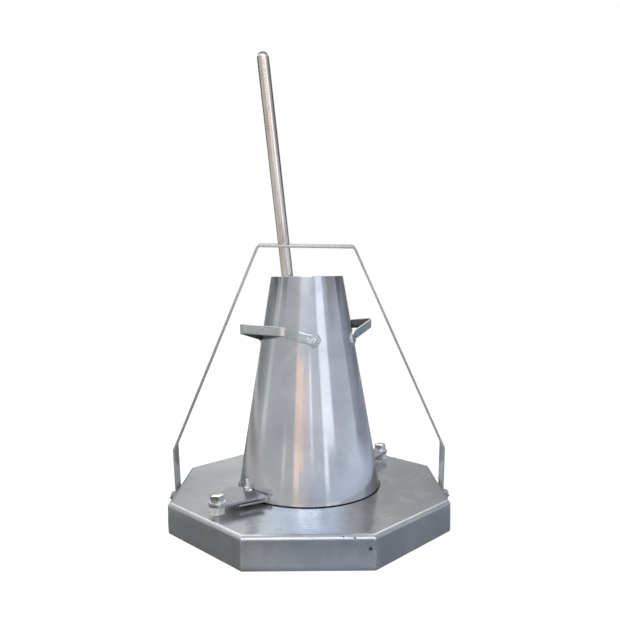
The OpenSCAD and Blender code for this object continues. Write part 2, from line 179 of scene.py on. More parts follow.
def rounded_path(corners, radius, arc, step):
    """Flat path through corners, with points every step. Each corner is rounded by an arc that touches both
    its legs."""
    corners = np.asarray(corners, float)
    pieces = [corners[:1]]
    for before, at, after in zip(corners[:-2], corners[1:-1], corners[2:]):
        back, on = before - at, after - at
        back, on = back / np.linalg.norm(back), on / np.linalg.norm(on)
        half = math.acos(np.clip(back @ on, -1, 1)) / 2
        middle = at + (back + on) / np.linalg.norm(back + on) * radius / math.sin(half)
        start = at + back * radius / math.tan(half) - middle
        end = at + on * radius / math.tan(half) - middle
        t = np.linspace(0, 1, arc + 1)[:, None]
        sweep = math.pi - 2 * half
        blend = (np.sin((1 - t) * sweep) * start + np.sin(t * sweep) * end) / math.sin(sweep)
        pieces.append(middle + blend)
    pieces.append(corners[-1:])
    path = [pieces[0]]
    for piece in pieces[1:]:
        gap = piece[0] - path[-1][-1]
        count = max(int(np.linalg.norm(gap) / step), 1)
        path.append(path[-1][-1] + gap * np.linspace(0, 1, count + 1)[1:-1, None])
        path.append(piece)
    return np.vstack(path)


def along(path):
    """Unit directions along a path, and the distance along it at each point."""
    step = np.gradient(path, axis=0)
    length = np.concatenate([[0], np.cumsum(np.linalg.norm(np.diff(path, axis=0), axis=1))])
    return step / np.linalg.norm(step, axis=1, keepdims=True), length


def ripple(distance, pitch, depth, phase):
    """Scale of a weld bead's thickness along its length: overlapping round ripples, one each pitch."""
    uneven = distance + 0.35 * pitch * np.sin(distance / pitch * 1.7 + phase * 5)
    wave = np.abs(np.sin(np.pi * uneven / pitch + phase))
    slow = np.sin(distance / pitch * 0.83 + phase * 3) + np.sin(distance / pitch * 0.37 + phase)
    return 1 - depth * (1 - wave) ** 1.5 + depth * 0.45 * slow


def bead(path, normal, radius, pitch, depth, phase, columns=16):
    """A weld bead: a tube along a path whose radius has ripples and tapers at both ends."""
    forward, length = along(path)
    side = np.cross(forward, normal)
    side /= np.linalg.norm(side, axis=1, keepdims=True)
    up = np.cross(side, forward)
    ends = np.minimum(length, length[-1] - length) / (radius * 1.2)
    taper = np.sqrt(np.clip(1 - (1 - np.clip(ends, 0, 1)) ** 2, 0.03, 1))
    r = radius * ripple(length, pitch, depth, phase) * taper
    angle = np.linspace(0, TURN, columns, endpoint=False)
    ring = np.cos(angle)[None, :, None] * side[:, None] + np.sin(angle)[None, :, None] * up[:, None]
    return closed_grid(path[:, None] + ring * r[:, None, None])


# Pieces

# Points that are as close as this are one, in metres, in a mesh made here and in a CAD node's
SAME_POINT, SAME_CAD_POINT = 1e-7, 2e-6
# Faces of a CAD node that meet at less than the first angle are one, and edges over the second are eased
SAME_FACE, SHARP_EDGE = math.radians(1), math.radians(32)


def joined(parts):
    """Several (points, faces) as one."""
    points, faces, count = [], [], 0
    for part_points, part_faces in parts:
        points.append(part_points)
        faces += [[i + count for i in face] for face in part_faces]
        count += len(part_points)
    return np.vstack(points), faces


def moved(part, by):
    """A part's points and faces, moved."""
    return part[0] + np.asarray(by), part[1]


def finished(name, mesh, material, body, nodes):
    """Puts a mesh in the scene as a piece that rides on a body and stands for CAD nodes."""
    mesh.materials.append(material)
    piece = bpy.data.objects.new(name, mesh)
    bpy.context.scene.collection.objects.link(piece)
    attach(piece, body)
    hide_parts(*nodes)
    return piece


def surface_piece(name, parts, material, body, nodes, flat_angle=None):
    """A piece from parts of (points in millimetres, faces), closed, smooth and facing outwards."""
    points, faces = joined(parts)
    mesh = bpy.data.meshes.new(name)
    mesh.from_pydata((points * MM).tolist(), [], faces)
    work = bmesh.new()
    work.from_mesh(mesh)
    bmesh.ops.remove_doubles(work, verts=work.verts, dist=SAME_POINT)
    bmesh.ops.dissolve_degenerate(work, edges=work.edges, dist=SAME_POINT)
    bmesh.ops.recalc_face_normals(work, faces=work.faces)
    work.to_mesh(mesh)
    work.free()
    mesh.shade_smooth()
    if flat_angle:
        mesh.set_sharp_from_angle(angle=math.radians(flat_angle))
    return finished(name, mesh, material, body, nodes)


def vertex_places(mesh):
    """Every vertex of a mesh as a row of an array, in metres."""
    places = np.empty(len(mesh.vertices) * 3)
    mesh.vertices.foreach_get("co", places)
    return places.reshape(-1, 3)


def eased_copy(node, material, body, edge_mm):
    """A CAD node's shape with its sharp edges eased: its triangles are merged, its flat faces joined, and
    its edges bevelled."""
    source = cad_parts[node].data
    triangles = np.empty(len(source.loops), np.int32)
    source.loops.foreach_get("vertex_index", triangles)
    mesh = bpy.data.meshes.new("eased_" + node)
    mesh.from_pydata(vertex_places(source).tolist(), [], triangles.reshape(-1, 3).tolist())
    work = bmesh.new()
    work.from_mesh(mesh)
    bmesh.ops.remove_doubles(work, verts=work.verts, dist=SAME_CAD_POINT)
    bmesh.ops.dissolve_limit(work, angle_limit=SAME_FACE, verts=work.verts, edges=work.edges)
    work.to_mesh(mesh)
    work.free()
    mesh.shade_smooth()
    piece = finished("eased_" + node, mesh, material, body, (node,))
    bevel = piece.modifiers.new("eased edges", "BEVEL")
    bevel.width, bevel.segments = edge_mm * MM, 2
    bevel.limit_method, bevel.angle_limit = "ANGLE", SHARP_EDGE
    bevel.harden_normals = True
    return piece


def unmirrored(piece):
    """Leaves a thin or small piece out of the mirror images, as the real set's gloss hardly shows it."""
    piece.visible_glossy = False


# Materials


def colour(hexadecimal):
    """An sRGB hex colour as linear red, green, blue and alpha."""
    value = np.array([int(hexadecimal[i:i + 2], 16) for i in (1, 3, 5)]) / 255
    linear = np.where(value <= 0.04045, value / 12.92, ((value + 0.055) / 1.055) ** 2.4)
    return (*linear.tolist(), 1.0)


def per_mm(millimetres):
    """Texture scale whose features are that many millimetres across."""
    return 1 / (millimetres * MM)


def add(tree, kind, sockets=(), **settings):
    """A node with its settings. Its sockets are given by name in a dict, or in a list that fills those in use
    in their order: for a noise its place, scale, detail and roughness. A value is set, and a socket or a node
    is linked, a node by its first output in use."""
    made = tree.nodes.new("ShaderNode" + kind)
    for key, value in settings.items():
        setattr(made, key, value)
    if isinstance(sockets, dict):
        pairs = [(made.inputs[key], value) for key, value in sockets.items()]
    else:
        pairs = list(zip([socket for socket in made.inputs if socket.enabled], sockets))
    for socket, value in pairs:
        if isinstance(value, bpy.types.Node):
            value = next(output for output in value.outputs if output.enabled)
        if isinstance(value, bpy.types.NodeSocket):
            tree.links.new(value, socket)
        else:
            socket.default_value = value
    return made


def new_material(name):
    """An empty material, its node tree and the place on the object that its patterns read."""
    material = bpy.data.materials.new(name)
    material.use_nodes = True
    tree = material.node_tree
    tree.nodes.clear()
    return material, tree, add(tree, "TexCoord").outputs["Object"]


def within(tree, value, low, high, soft):
    """1 where the value is between low and high, falling to 0 over the soft width outside them."""
    above = add(tree, "MapRange", [value, low - soft, low])
    below = add(tree, "MapRange", [value, high, high + soft, 1, 0])
    return add(tree, "Math", [above, below], operation="MULTIPLY")


def layered(tree, ground, layers):
    """A colour with others laid over it in turn, each given as (share, colour)."""
    base = colour(ground)
    for share, tint in layers:
        base = add(tree, "Mix", [share, base, colour(tint)], data_type="RGBA")
    return base


def spot_mask(tree, where, place_mm, radius_mm, ragged_mm):
    """1 inside a ragged-edged ball about a place, 0 outside it."""
    away = add(tree, "VectorMath", [where, [c * MM for c in place_mm]], operation="DISTANCE")
    edge = add(tree, "TexNoise", [where, per_mm(ragged_mm), 2, 0.6])
    ragged = add(tree, "Math", [edge, radius_mm * 0.9 * MM, away], operation="MULTIPLY_ADD")
    return add(tree, "MapRange", [ragged, radius_mm * 1.35 * MM, radius_mm * 1.5 * MM, 1, 0])


# Colours that show through the enamel and lie on it, and the colours of painted shadow, painted shade and
# painted highlights
PRIMER, CEMENT_DUST, PALE_SCUFF_AND_HIGHLIGHT = "#3E3E42", "#B9B6AE", "#E4E5E3"
CONTACT_SHADOW_RING, CONTACT_SHADOW_LINE, INNER_PAINTED_SHADE, BARE_STEEL = "#2E2F31", "#242527", "#4B4D4F", "#D8D9D8"
# The ring of painted contact shadow reaches this far in under the cone and out from it, in millimetres, and
# its edges are soft
RING_IN, RING_OUT, RING_SOFT = 1.2, 1.5, 0.5
FOLD_ROUGH = 0.42


def coat_layers(tree, where, dark):
    """Cloudy patches and runs of the darker grey, and thin cement dust, as (share, colour)."""
    clouds = add(tree, "TexNoise", {"Vector": where, "Scale": per_mm(70), "Detail": 3, "Roughness": 0.6,
                                    "Distortion": 0.4})
    streaks = add(tree, "Mapping", {"Vector": where, "Scale": (1, 1, 0.12)})
    runs = add(tree, "TexNoise", [streaks, per_mm(9), 2, 0.6])
    dust = add(tree, "TexNoise", [where, per_mm(26), 4, 0.65])
    return [(add(tree, "MapRange", [clouds, 0.35, 0.68]), dark),
            (add(tree, "MapRange", [runs, 0.5, 0.75, 0, 0.2]), dark),
            (add(tree, "MapRange", [dust, 0.55, 0.8, 0, 0.18]), CEMENT_DUST)]


def enamel_chips(tree, where, amount, chips_at):
    """Share of primer that shows: specks of 3 mm in groups of 38 mm, and single chips at given places."""
    specks = add(tree, "TexNoise", [where, per_mm(3.2), 1, 0.5])
    groups = add(tree, "TexNoise", [where, per_mm(38), 1, 0.5])
    chips = add(tree, "Math", [add(tree, "MapRange", [specks, 0.745, 0.76]),
                               add(tree, "MapRange", [groups, 0.56, 0.62])], operation="MULTIPLY")
    chips = add(tree, "Math", [chips, amount], operation="MULTIPLY")
    for place, radius in chips_at:
        chip = spot_mask(tree, where, place, radius, 1.6)
        chips = add(tree, "Math", [chips, chip], operation="MAXIMUM")
    return chips


def mark_layers(tree, where, height, scuffs_and_highlights_at, ring_r, shadow_line_below):
    """Pale spots, which are cement scuffs on the tray and painted highlights on the handles, the painted
    contact shadow as a dark ring on the tray round the cone's foot, and as a dark line along the cone's own
    lower edge, as (share, colour)."""
    layers = []
    # Pale spots: real cement scuffs on the tray, and painted highlights on the handles
    for place, radius in scuffs_and_highlights_at:
        pale_spot = spot_mask(tree, where, place, radius, 2.2)
        layers.append((add(tree, "Math", [pale_spot, 0.55], operation="MULTIPLY"), PALE_SCUFF_AND_HIGHLIGHT))
    # Painted contact shadow: a dark ring on the tray round the cone's foot
    if ring_r:
        level_place = add(tree, "VectorMath", [where, (1, 1, 0)], operation="MULTIPLY")
        from_axis = add(tree, "VectorMath", [level_place], operation="LENGTH")
        ring = within(tree, from_axis, (ring_r - RING_IN) * MM, (ring_r + RING_OUT) * MM, RING_SOFT * MM)
        layers.append((ring, CONTACT_SHADOW_RING))
    # Painted contact shadow: a dark line along the cone's own lower edge
    if shadow_line_below:
        line = add(tree, "MapRange", [height, shadow_line_below * MM, (shadow_line_below + 0.5) * MM, 1, 0])
        layers.append((line, CONTACT_SHADOW_LINE))
    return layers


def enamel_relief(tree, where, chips):
    """Slow waves of the sheet, orange peel of the spray, and the sunk chips, one on another."""
    waves = add(tree, "TexNoise", [where, per_mm(48), 1, 0.4])
    peel = add(tree, "TexNoise", [where, per_mm(1.6), 2, 0.5])
    bump = add(tree, "Bump", {"Height": waves, "Strength": 0.5, "Distance": 0.3 * MM})
    bump = add(tree, "Bump", {"Height": peel, "Strength": 0.05, "Distance": 0.015 * MM, "Normal": bump})
    return add(tree, "Bump", {"Height": chips, "Strength": 0.5, "Distance": 0.1 * MM, "Normal": bump},
               invert=True)


def grey_enamel(name, light, dark, chip_amount, metallic=0.85, gloss=(0.15, 0.25), chips_at=(),
                scuffs_and_highlights_at=(), worn_at=(), ring_r=None, shadow_line_below=None, fold_z=None):
    """Air-drying silver-grey machine enamel sprayed over steel: a glossy metallic coat with a fine orange
    peel, slow waves in the sheet under it, cloudy patches, thin dust, and chips down to dark primer. It is
    worn through to bright steel at the places in worn_at, taken on both sides of the half turn, has pale
    spots at the places given, which are cement scuffs on the tray and painted highlights on the handles, a
    painted contact shadow as a dark line round the cone's foot, on the tray and on the cone, and a rougher
    coat on the tray's fold. The faces marked inner get painted shade: a dark colour that is hardly metallic."""
    material, tree, where = new_material(name)
    height = add(tree, "SeparateXYZ", [where]).outputs["Z"]
    inner = add(tree, "Attribute", attribute_name="inner").outputs["Fac"]
    chips = enamel_chips(tree, where, chip_amount, chips_at)
    layers = coat_layers(tree, where, dark) + [(chips, PRIMER)]
    layers += mark_layers(tree, where, height, scuffs_and_highlights_at, ring_r, shadow_line_below)
    # Painted shade: the faces marked inner get a dark colour and are made hardly metallic
    layers.append((inner, INNER_PAINTED_SHADE))
    metallic = add(tree, "MapRange", [inner, 0, 1, metallic, 0.1])
    half_turned = add(tree, "VectorMath", [where], operation="ABSOLUTE")
    for place, radius in worn_at:
        worn = spot_mask(tree, half_turned, place, radius, 3)
        layers.append((worn, BARE_STEEL))
        metallic = add(tree, "Math", [metallic, worn], operation="MAXIMUM")
    matt = add(tree, "TexNoise", [where, per_mm(33), 3, 0.6])
    rough = add(tree, "MapRange", [matt, 0.3, 0.7, *gloss])
    if fold_z:
        on_fold = within(tree, height, fold_z[0] * MM, fold_z[1] * MM, 0.4 * MM)
        fold_rough = add(tree, "Math", [on_fold, FOLD_ROUGH], operation="MULTIPLY")
        rough = add(tree, "Math", [rough, fold_rough], operation="MAXIMUM")
    shader = add(tree, "BsdfPrincipled", {
        "Base Color": layered(tree, light, layers), "Roughness": rough, "Metallic": metallic,
        "Normal": enamel_relief(tree, where, chips), "Coat Weight": 0.5, "Coat Roughness": 0.06})
    add(tree, "OutputMaterial", {"Surface": shader})
    return material


def zinc_plate(name, metallic=1.0):
    """Bright zinc plate on cold-forged fasteners: a cool white metal with a faint straw tint in patches, a
    soft gloss, and the shallow marks of forging and spanners. Where paint mist has dulled it, it is less
    metallic."""
    material, tree, where = new_material(name)
    patches = add(tree, "TexNoise", [where, per_mm(7), 3, 0.6])
    grime = add(tree, "TexNoise", [where, per_mm(2.5), 3, 0.7])
    matt = add(tree, "TexNoise", [where, per_mm(3), 3, 0.6])
    marks = add(tree, "TexNoise", [where, per_mm(1.3), 3, 0.6])
    base = layered(tree, "#ECEEEE", [(add(tree, "MapRange", [patches, 0.4, 0.7]), "#D8D5CA"),
                                     (add(tree, "MapRange", [grime, 0.6, 0.78, 0, 0.5]), "#85847F")])
    rough = add(tree, "MapRange", [matt, 0.3, 0.7, 0.14, 0.3])
    bump = add(tree, "Bump", {"Height": marks, "Strength": 0.35, "Distance": 0.06 * MM})
    shader = add(tree, "BsdfPrincipled", {"Base Color": base, "Roughness": rough, "Metallic": metallic,
                                          "Normal": bump})
    add(tree, "OutputMaterial", {"Surface": shader})
    return material


def drawn_steel(name, axis_turn, top_mm):
    """Bright drawn steel bar: a warm grey metal with fine lengthwise die lines, drawn coarser than the real
    ones so that they show, brown storage stains in long patches and a dull film of cement. The round end at
    the top is as turned: greyer and rougher."""
    material, tree, where = new_material(name)
    upright = add(tree, "Mapping", {"Vector": where, "Rotation": axis_turn})
    long = add(tree, "Mapping", {"Vector": upright, "Scale": (1, 1, 0.02)})
    patch = add(tree, "Mapping", {"Vector": upright, "Scale": (1, 1, 0.35)})
    lines = add(tree, "TexNoise", [long, per_mm(0.9), 3, 0.7])
    stains = add(tree, "TexNoise", [patch, per_mm(16), 4, 0.65])
    film = add(tree, "TexNoise", [where, per_mm(30), 5, 0.7])
    height = add(tree, "SeparateXYZ", [where]).outputs["Z"]
    turned_end = add(tree, "MapRange", [height, (top_mm - 8) * MM, (top_mm - 5) * MM])
    base = layered(tree, "#E8E1DA", [(add(tree, "MapRange", [lines, 0.3, 0.7]), "#C4BBB2"),
                                     (add(tree, "MapRange", [stains, 0.55, 0.75, 0, 0.5]), "#9A8574"),
                                     (add(tree, "MapRange", [film, 0.6, 0.75, 0, 0.35]), "#B5B2AC"),
                                     (turned_end, "#A19C96")])
    drawn_rough = add(tree, "MapRange", [lines, 0.25, 0.75, 0.14, 0.28])
    rough = add(tree, "Mix", [turned_end, drawn_rough, 0.45])
    bump = add(tree, "Bump", {"Height": lines, "Strength": 0.3, "Distance": 0.05 * MM})
    shader = add(tree, "BsdfPrincipled", {"Base Color": base, "Roughness": rough, "Metallic": 1.0,
                                          "Normal": bump})
    add(tree, "OutputMaterial", {"Surface": shader})
    return material


# Marks of use, and painted highlights on the handles: place and radius in millimetres
TRAY_CHIPS = [((72, -188, 26), 2.2), ((54, -187, 38.5), 1.4), ((41, -186, 39.5), 1.2)]
TRAY_SCUFFS = [((-90, -145, 41.5), 2.2), ((-100, -132, 41.5), 1.6), ((-86, -122, 41.5), 1.3),
               ((-62, -150, 41.5), 1.2)]
CLAMP_WORN = [((59, 95, 54.5), 7)]
# Painted highlights: pale spots at the left handle's fold and at its long flange's end
HANDLE_PAINTED_HIGHLIGHTS = [((-33.6, -60, 263.5), 3.6), ((-34, -60, 269.5), 3.4), ((1, -69.5, 258.5), 2.6),
                 ((4.5, -69, 255), 3.2), ((8, -68, 258), 2.8), ((10, -67.5, 253.5), 2.6)]

# The tray's enamel gets a painted contact-shadow ring round the cone's foot, and the cone's a painted shadow
# line along its lower edge
tray_enamel = grey_enamel("grey_enamel_on_tray", "#C2C5C8", "#AEB2B6", 0.0, gloss=(0.18, 0.3),
                          chips_at=TRAY_CHIPS, scuffs_and_highlights_at=TRAY_SCUFFS, ring_r=FOOT_R + CONE_T,
                          fold_z=(36.3, 41.0))
cone_enamel = grey_enamel("grey_enamel_on_cone", "#C6C8CC", "#B4B7BC", 0.25, gloss=(0.08, 0.15),
                          shadow_line_below=TRAY_H + 1)
strip_enamel = grey_enamel("grey_enamel_on_strip", "#BFC1C0", "#A8AAA9", 0.5, metallic=0.45)
handle_enamel = grey_enamel("grey_enamel_on_handle", "#B4BDBB", "#9EA7A5", 0.4, metallic=0.75,
                            gloss=(0.1, 0.18), scuffs_and_highlights_at=HANDLE_PAINTED_HIGHLIGHTS)
weld_enamel = grey_enamel("grey_enamel_on_weld", "#CFD2D4", "#B8BCBE", 0.3, metallic=0.6)
corner_enamel = grey_enamel("grey_enamel_on_corner", "#C8CBCE", "#B4B8BB", 0.2, gloss=(0.2, 0.3))
plate_enamel = grey_enamel("grey_enamel_on_clamp_plate", "#B4B6BD", "#A0A3AA", 1.0, gloss=(0.12, 0.2),
                           worn_at=CLAMP_WORN)
zinc = zinc_plate("bright_zinc_plate")


# Base tray

WALL_ROWS = 7
# The sheet's waves fade out on the top, up to a margin from its edge, and on the skirt, up to the fold
TOP_MARGIN, TOP_FADE, SKIRT_FADE = 8, 30, 20


def octagon_rings(insets, heights, arc=5, flat=8):
    """Rings of an octagon, one at each height. Its flats are moved in by the inset, and its corners are arcs
    of what is left of the corner radius. A point beside each arc keeps the flats flat."""
    insets = np.asarray(insets, float)
    radius = np.maximum(CORNER_R - insets, 0.5)
    reach = (TRAY_W / 2 - insets - radius) / math.cos(math.pi / 8)
    corner = np.arange(8) * TURN / 8 + TURN / 16
    turn = corner[:, None] + np.linspace(-TURN / 16, TURN / 16, arc + 1)
    middle = np.stack([np.cos(corner), np.sin(corner)], axis=1)[:, None] * np.ones((1, arc + 1, 1))
    edge = np.stack([np.cos(turn), np.sin(turn)], axis=2)
    arcs = reach[:, None, None, None] * middle + radius[:, None, None, None] * edge
    start, end = arcs[:, :, -1], np.roll(arcs[:, :, 0], -1, axis=1)
    t = np.concatenate([[0.03], np.linspace(0, 1, flat + 1)[1:-1], [0.97]])
    flats = start[:, :, None] + (end - start)[:, :, None] * t[:, None]
    ring = np.concatenate([arcs, flats], axis=2).reshape(len(insets), -1, 2)
    return np.dstack([ring, np.broadcast_to(np.asarray(heights, float)[:, None], ring.shape[:2])])


def sheet_waves(x, y):
    """Slow waves of a hand-folded sheet, in millimetres, as a sum of sines in x and y."""
    return (0.10 * np.sin(x / 41 + 0.6) * np.cos(y / 53 - 0.4) + 0.06 * np.sin((x + y) / 27 + 1.9)
            + 0.05 * np.cos((x - 1.7 * y) / 33))


def side_rings(gap, fold, foot):
    """Rings up one face of the skirt, a gap in from its outside, and round the fold."""
    bend = np.linspace(0, math.pi / 2, 9)[1:]
    wall = np.linspace(foot, TRAY_H - gap - fold, WALL_ROWS)
    insets = np.concatenate([np.full(WALL_ROWS, gap), gap + fold - fold * np.cos(bend)])
    return octagon_rings(insets, np.concatenate([wall, TRAY_H - gap - fold + fold * np.sin(bend)]))


def lid_rings(rim):
    """Rings from a rim in to the middle of the tray, each a share of the rim's size."""
    share = np.concatenate([[0.985, 0.96], np.arange(9, 0, -1) / 10, [0.03]])
    rings = np.repeat(rim[None], len(share), axis=0)
    rings[:, :, :2] *= share[:, None, None]
    return rings


def tray_shell():
    """The folded sheet: up the skirt, round the fold, in to the middle of the top, and back underneath."""
    outer = side_rings(0.0, FOLD_R, foot=0.4)
    inner = side_rings(TRAY_T, FOLD_R - TRAY_T, foot=0.3)
    lip = octagon_rings([0.3, TRAY_T / 2, TRAY_T - 0.3], [0.05, 0.0, 0.05])
    ceiling, top = lid_rings(inner[-1]), lid_rings(outer[-1])
    points = np.concatenate([ceiling[::-1], inner[::-1], lip[::-1], outer, top])
    x, y, z = points[:, :, 0], points[:, :, 1], points[:, :, 2]
    rim = np.maximum.reduce([np.abs(x * math.cos(a) + y * math.sin(a)) for a in np.arange(4) * TURN / 8])
    flat_top = np.clip((TRAY_W / 2 - TOP_MARGIN - rim) / TOP_FADE, 0, 1) * (z > TRAY_H - 2 * TRAY_T)
    points[:, :, 2] += sheet_waves(x, y) * flat_top
    skirt = np.clip((TRAY_H - FOLD_R - z) / SKIRT_FADE, 0, 1)
    out = np.stack([x, y], axis=2) / np.maximum(np.hypot(x, y), 1)[:, :, None]
    points[:, :, :2] -= out * (np.abs(sheet_waves(x * 1.7, y * 1.7 + 40)) * skirt)[:, :, None]
    return closed_grid(points)


surface_piece("tray_sheet", [tray_shell()], tray_enamel, "base", ("base_tray",))


def corner_bead_parts():
    """A dressed bead up each corner of the skirt and over its fold: a rod of the corner's radius, with
    faint ripples."""
    foot, proud = 0.6, 0.25
    z = np.linspace(foot, TRAY_H - FOLD_R, 40)
    bend = np.linspace(0, math.radians(70), 9)[1:]
    centre = (TRAY_W / 2) / math.cos(math.pi / 8) - CORNER_R + proud
    inset = np.concatenate([np.zeros_like(z), (FOLD_R - FOLD_R * np.cos(bend)) * 1.05])
    height = np.concatenate([z, TRAY_H - FOLD_R + (FOLD_R - CORNER_R + 0.2) * np.sin(bend)])
    parts = []
    for k in range(8):
        a = TURN / 16 + k * TURN / 8
        path = polar(centre - inset, a, height)
        outward = polar(np.ones(len(path)), a, 0.01)
        parts.append(bead(path, outward, CORNER_R, pitch=2.8, depth=0.07, phase=k * 1.3, columns=28))
    return parts


surface_piece("tray_corner_welds", corner_bead_parts(), corner_enamel, "base", ("corner_welds",))


# Cone


def cone_radius(height, depth=0.0):
    """Radius of the cone's outer face at a height above its foot, moved out by a depth."""
    return FOOT_R + CONE_T - height * SLOPE + depth


def cone_shell_surface():
    """A closed profile up the outside, over the mouth, and down the inside, carried round Z. The radius has
    a slow lobed error of up to a fifth of a millimetre, as a rolled sheet has."""
    edge, middle = 0.45, CONE_T / 2
    wall = np.linspace(5, CONE_H - 5, 46)
    rows = np.concatenate([[edge, edge + 0.5], wall, [CONE_H - edge - 0.5, CONE_H - edge]])
    over = np.linspace(0, math.pi, 7)
    outer = np.stack([cone_radius(rows), rows], axis=1)
    top_r = cone_radius(CONE_H) - middle + middle * np.cos(over)
    top = np.stack([top_r, CONE_H - edge + edge * np.sin(over)], axis=1)
    foot_r = cone_radius(0) - middle - middle * np.cos(over)
    foot = np.stack([foot_r, edge - (edge - 0.05) * np.sin(over)], axis=1)
    profile = np.vstack([outer, top[1:-1], outer[::-1] - [CONE_T, 0], foot[1:-1]])
    points, faces = revolved(profile, 240)
    angle = np.arctan2(points[:, 1], points[:, 0])
    up = points[:, 2] / CONE_H
    lobes = (0.10 * np.sin(2 * angle + 0.7) + 0.05 * np.sin(5 * angle + 3 * up)
             + 0.03 * np.sin(9 * angle - 5 * up + 1))
    points[:, :2] *= (1 + lobes / np.hypot(points[:, 0], points[:, 1]))[:, None]
    points[:, 2] += TRAY_H
    return points, faces


surface_piece("cone_wall", [cone_shell_surface()], cone_enamel, "cone", ("cone_shell",))


def seam_parts():
    """The seam's bead along the middle of the wall, so that it stands out on both faces."""
    end_gap, radius = 0.8, 1.45
    height = np.linspace(end_gap, CONE_H - end_gap, 420)
    a = math.radians(SEAM_AZ)
    path = polar(cone_radius(height, -CONE_T / 2), a, TRAY_H + height)
    outward = polar(np.ones(len(path)), a, 0.15)
    return [bead(path, outward, radius, pitch=2.3, depth=0.12, phase=0.4, columns=20)]


surface_piece("cone_seam_weld", seam_parts(), weld_enamel, "cone", ("cone_seam",))


# Handles. Each is made about +X and then turned to its azimuth

FLANGE_R = cone_radius(HANDLE_Z)
FOLD_MID_R = FLANGE_R + HANDLE_T / 2
FOLD_XY = FOLD_MID_R * np.array([math.cos(HANDLE_SPREAD), math.sin(HANDLE_SPREAD)])
ROUND_R = HANDLE_W / 2


def flange_length(side):
    """A handle's long flange is on side 1, its short one on side -1."""
    return LONG_FLANGE_L if side == 1 else SHORT_FLANGE_L


def on_flange(side, xi, eta, depth):
    """Point of a flange, from its length xi (fold to end), width eta and depth off the cone: the flat
    outline is laid on the cone along the radius of the flange's middle."""
    half = flange_length(side) / 2
    fold_z = HANDLE_Z + side * FOLD_XY[1] * math.tan(HANDLE_CANT)
    centre_z = fold_z + HANDLE_W / 2 - half * math.sin(FLANGE_DROOP)
    across = xi * math.cos(FLANGE_DROOP) + eta * math.sin(FLANGE_DROOP)
    z = centre_z - xi * math.sin(FLANGE_DROOP) + eta * math.cos(FLANGE_DROOP)
    out = np.sqrt(np.maximum(cone_radius(z, depth) ** 2 - across ** 2, 0))
    a = HANDLE_SPREAD + math.asin(half / FLANGE_R)
    x = out * math.cos(a) - across * math.sin(a)
    y = out * math.sin(a) + across * math.cos(a)
    return np.stack([x, side * y, z + TRAY_H], axis=-1)


def flange_rows(side, eta, depth):
    """Rows of a flange from beside its fold to its round end, where the width follows a half circle."""
    fold_gap, end_gap = 3.5, 0.02
    half = flange_length(side) / 2
    straight = half - ROUND_R
    quarter = np.linspace(0, math.pi / 2, 12)[1:-1]
    xi = np.concatenate([np.linspace(fold_gap - half, straight, 14), straight + ROUND_R * np.sin(quarter),
                         [half - end_gap]])
    narrow = np.sqrt(np.clip(1 - (np.maximum(xi - straight, 0) / ROUND_R) ** 2, 0.002, 1))
    return on_flange(side, xi[:, None], eta * narrow[:, None], depth)


def bend_rows(before, last, first, after, count=7):
    """Rows of a smooth bend from the row last to the row first, as a cubic that leaves and arrives along
    the strip on either side."""
    chord = np.linalg.norm(first - last, axis=1).mean()
    leave = (last - before) / np.linalg.norm(last - before, axis=1).mean() * chord
    arrive = (after - first) / np.linalg.norm(after - first, axis=1).mean() * chord
    t = np.linspace(0, 1, count + 2)[1:-1, None, None]
    return ((2 * t**3 - 3 * t**2 + 1) * last + (t**3 - 2 * t**2 + t) * leave
            + (3 * t**2 - 2 * t**3) * first + (t**3 - t**2) * arrive)


def handle_strip():
    """One bent strip: a flange on the cone, a fold, two legs that meet at the rounded tip, a fold and a
    flange. The legs' height follows the plane of the loop, which rises towards the tip and is canted."""
    section = bar_section(HANDLE_W, HANDLE_T, edge=0.7)
    eta, depth = section[None, :, 0], section[None, :, 1] + HANDLE_T / 2
    corners = [FOLD_XY * [1, -1], [HANDLE_REACH, 0], FOLD_XY]
    path = rounded_path(corners, HANDLE_BEND_R, arc=12, step=5)[1:-1]
    forward, _ = along(path)
    outward = np.stack([forward[:, 1], -forward[:, 0]], axis=1)
    upright = 1 / (math.cos(HANDLE_CANT) * math.cos(HANDLE_RISE))
    flat = path[:, None] + (depth - HANDLE_T / 2)[..., None] * outward[:, None]
    middle_z = (TRAY_H + HANDLE_Z + HANDLE_W / 2 * upright
                + (flat[..., 0] - FOLD_XY[0]) * math.tan(HANDLE_RISE)
                + flat[..., 1] * math.tan(HANDLE_CANT) / math.cos(HANDLE_RISE))
    loop = np.dstack([flat, middle_z + eta * upright])
    first, last = flange_rows(-1, eta, depth)[::-1], flange_rows(1, eta, depth)
    return closed_grid(np.concatenate([first, bend_rows(*first[-2:], *loop[:2]), loop,
                                       bend_rows(*loop[-2:], *last[:2]), last]))


def end_bead(side, phase):
    """A bead round a flange's end, lying in the corner between the strip and the cone: a ring of angles b,
    carried round the end's middle by the angle a."""
    reach, radius, off = math.radians(112), 2.5, 0.3
    middle = flange_length(side) / 2 - ROUND_R
    a = np.linspace(-reach, reach, 70)[:, None]
    b = np.linspace(0, TURN, 14, endpoint=False)[None]
    length = (a[:, 0] - a[0, 0]) * (ROUND_R + 0.5)
    ends = np.clip(np.minimum(length, length[-1] - length) / 2, 0.05, 1)
    r = (radius * ripple(length, 4.3, 0.3, phase) * np.sqrt(ends))[:, None]
    ring = ROUND_R + off + r * np.cos(b)
    return closed_grid(on_flange(side, middle + ring * np.cos(a), ring * np.sin(a), off + r * np.sin(b)))


